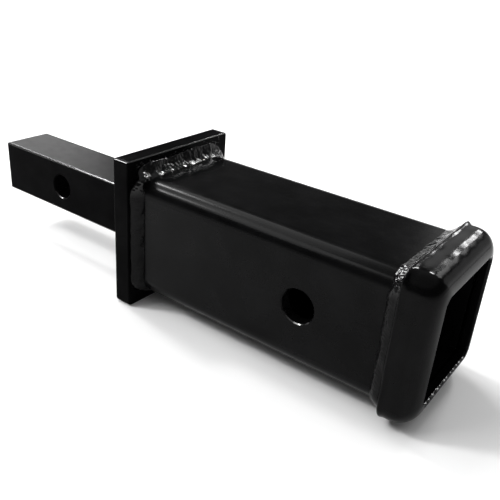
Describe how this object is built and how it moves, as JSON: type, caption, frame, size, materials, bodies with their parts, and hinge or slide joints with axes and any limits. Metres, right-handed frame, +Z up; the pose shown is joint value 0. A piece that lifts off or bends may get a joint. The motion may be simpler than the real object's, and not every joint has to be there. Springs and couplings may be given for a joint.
{
  "type": "hitch receiver adapter",
  "caption": "Black welded steel hitch adapter: solid square shank and stop plate carrying a larger square receiver tube with a rolled mouth collar and cross pin holes.",
  "frame": {"origin": "centre of the pin hole through the shank", "axes": "+X along the hitch from the shank towards the receiver's mouth, +Y along the shank's pin hole, +Z up"},
  "size_m": [0.2891, 0.0762, 0.0802],
  "materials": {
    "black_paint": "semi-gloss black paint on steel",
    "painted_weld": "glossy black paint over a rough weld bead"
  },
  "bodies": {
    "root": {"shank": "black_paint", "stop_plate": "black_paint", "receiver_tube": "black_paint", "mouth_collar": "black_paint", "shank_weld": "painted_weld", "plate_weld": "painted_weld", "collar_weld": "painted_weld"}
  },
  "joints": []
}
